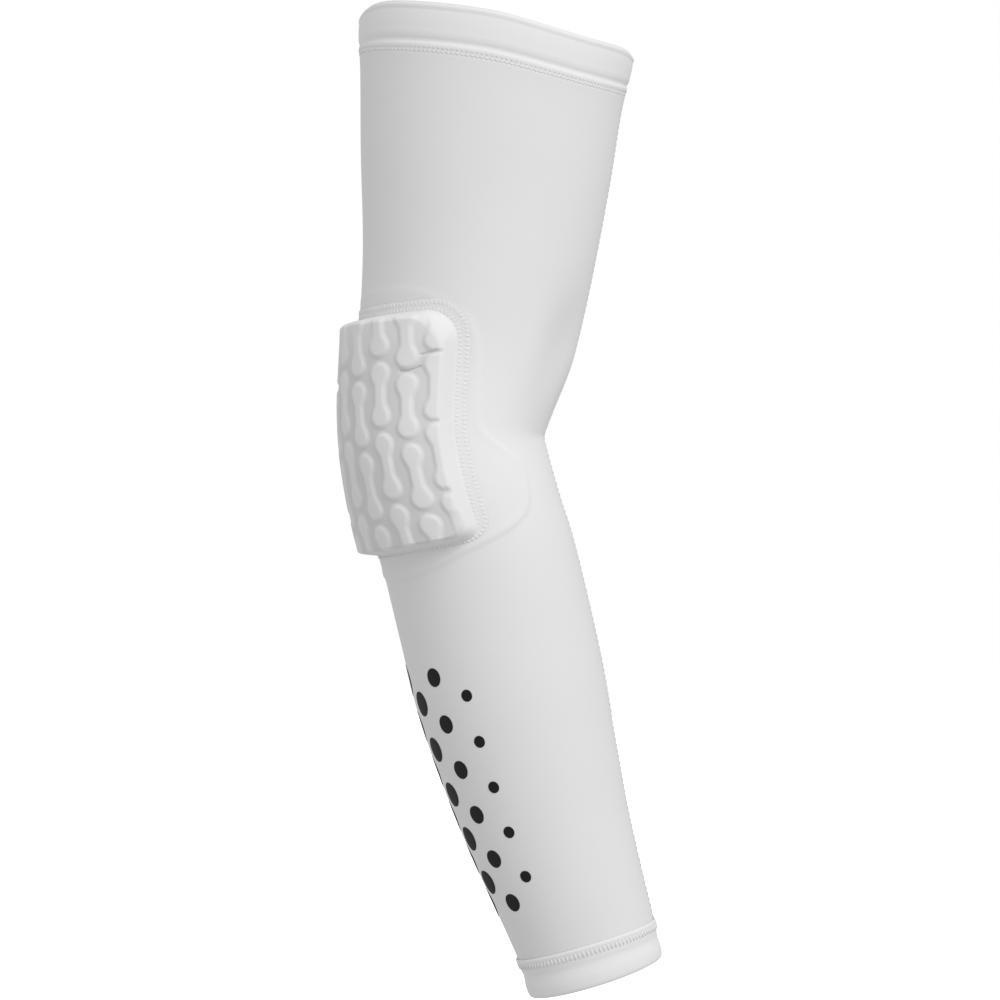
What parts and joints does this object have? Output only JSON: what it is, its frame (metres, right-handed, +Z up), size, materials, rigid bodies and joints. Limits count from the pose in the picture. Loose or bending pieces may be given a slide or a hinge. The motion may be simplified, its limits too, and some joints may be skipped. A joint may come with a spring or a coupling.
{
  "type": "padded elbow sleeve",
  "caption": "White stretch arm sleeve worn on a slightly bent arm, with a moulded foam pad of bone-shaped bosses sewn over the elbow and folded hems at the upper arm and wrist",
  "frame": {"origin": "the middle of the arm at the elbow, where the arm holds the sleeve", "axes": "+Z up the arm towards the shoulder, +X towards the hollow of the elbow, the bend in the XZ plane"},
  "size_m": [0.1397, 0.1019, 0.4226],
  "materials": {
    "jersey": "smooth stretch knit",
    "hem": "folded stretch knit",
    "pad_foam": "knit bonded over moulded foam",
    "lining": "knit",
    "print_ink": "matte transfer film on the jersey"
  },
  "bodies": {
    "root": {"sleeve_tube": "jersey", "upper_hem": "hem", "wrist_hem": "hem", "elbow_pad": "pad_foam", "pad_lining": "lining"}
  },
  "joints": []
}
